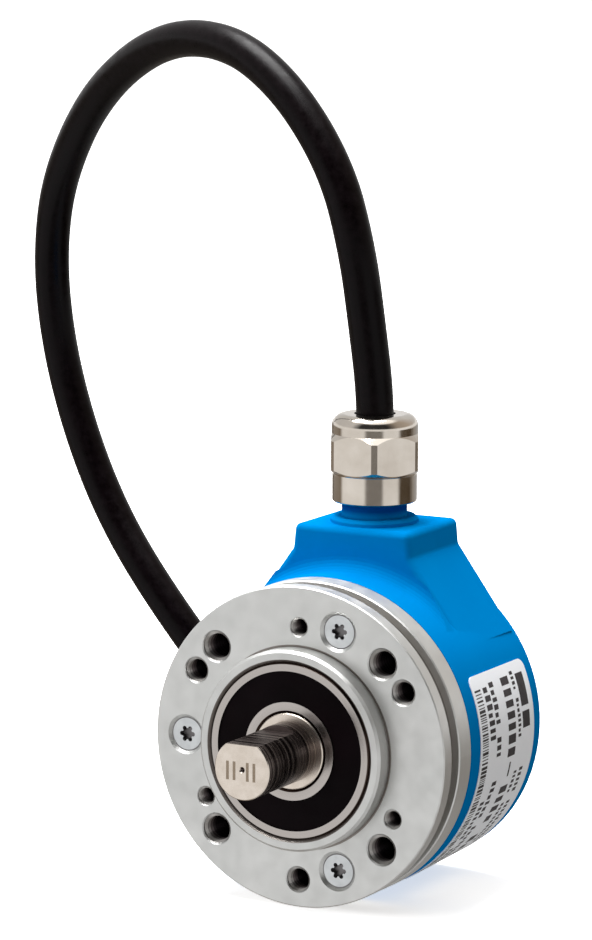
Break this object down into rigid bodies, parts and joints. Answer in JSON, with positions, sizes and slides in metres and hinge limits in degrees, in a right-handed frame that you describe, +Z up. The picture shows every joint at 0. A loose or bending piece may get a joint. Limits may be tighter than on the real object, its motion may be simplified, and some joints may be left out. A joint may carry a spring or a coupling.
{
  "type": "rotary encoder",
  "caption": "Incremental rotary encoder: solid shaft in a round aluminium face-mount flange, blue cup housing, cable leaving upward through a metal gland.",
  "frame": {"origin": "on the shaft axis, in the flat mounting face of the flange", "axes": "+Z up toward the cable gland, the shaft end points to -Y, the housing lies on +Y, +X to the right as seen from the shaft end"},
  "size_m": [0.1127, 0.1558, 0.1349],
  "materials": {
    "flange_aluminium": "bead-blasted, clear",
    "housing_paint": "fine-textured blue paint",
    "seal_rubber": "matte",
    "screw_zinc": "zinc plated",
    "label_film": "silver film",
    "shaft_steel": "ground stainless",
    "bearing_steel": "polished",
    "ball_steel": "polished",
    "cage_nylon": "natural nylon",
    "spring_steel": "spring steel",
    "hub_aluminium": "turned",
    "disc_glass": "clear with a chrome track",
    "holder_plastic": "moulded",
    "lens_clear": "clear",
    "package_plastic": "moulded",
    "board_laminate": "solder mask",
    "standoff_brass": "turned",
    "connector_plastic": "moulded",
    "core_insulation": "pvc",
    "gland_nickel": "nickel-plated brass",
    "jacket": "satin pvc",
    "tie_nylon": "nylon"
  },
  "bodies": {
    "stator": {"flange": "flange_aluminium", "housing": "housing_paint", "housing_o_ring": "seal_rubber", "flange_screws": "screw_zinc", "type_label": "label_film", "front_outer_ring": "bearing_steel", "front_outboard_seal": "seal_rubber", "front_inboard_seal": "seal_rubber", "rear_outer_ring": "bearing_steel", "rear_outboard_seal": "seal_rubber", "rear_inboard_seal": "seal_rubber", "preload_wave_washer": "spring_steel", "emitter_holder": "holder_plastic", "emitter_lens": "lens_clear", "sensor_head": "package_plastic", "circuit_board": "board_laminate", "board_standoffs": "standoff_brass", "board_screws": "screw_zinc", "board_components": "package_plastic", "lead_connector": "connector_plastic", "inner_leads": "core_insulation", "gland_body": "gland_nickel", "gland_cap_nut": "gland_nickel", "gland_o_ring": "seal_rubber", "gland_grommet": "seal_rubber", "gland_thrust_ring": "holder_plastic", "cable_entry": "jacket", "cable_arch": "jacket", "cable_coil": "jacket", "cable_tie": "tie_nylon", "lead_ends": "core_insulation"},
    "rotor": {"shaft": "shaft_steel", "front_inner_ring": "bearing_steel", "rear_inner_ring": "bearing_steel", "shaft_circlip": "spring_steel", "disc_hub": "hub_aluminium", "hub_set_screws": "spring_steel", "code_disc": "disc_glass", "disc_clamp_ring": "hub_aluminium"},
    "front_ball_set": {"front_balls": "ball_steel", "front_cage": "cage_nylon"},
    "rear_ball_set": {"rear_balls": "ball_steel", "rear_cage": "cage_nylon"}
  },
  "joints": [
    {"name": "shaft_spin", "type": "hinge", "parent": "stator", "child": "rotor", "pos_m": [0, 0, 0], "axis": [0, 1, 0], "continuous": true},
    {"name": "front_balls_orbit", "type": "hinge", "parent": "stator", "child": "front_ball_set", "pos_m": [0, 0, 0], "axis": [0, 1, 0], "continuous": true},
    {"name": "rear_balls_orbit", "type": "hinge", "parent": "stator", "child": "rear_ball_set", "pos_m": [0, 0, 0], "axis": [0, 1, 0], "continuous": true}
  ],
  "couplings": [
    {"joint": "front_balls_orbit", "follows": "shaft_spin", "ratio": 0.381},
    {"joint": "rear_balls_orbit", "follows": "shaft_spin", "ratio": 0.381}
  ]
}
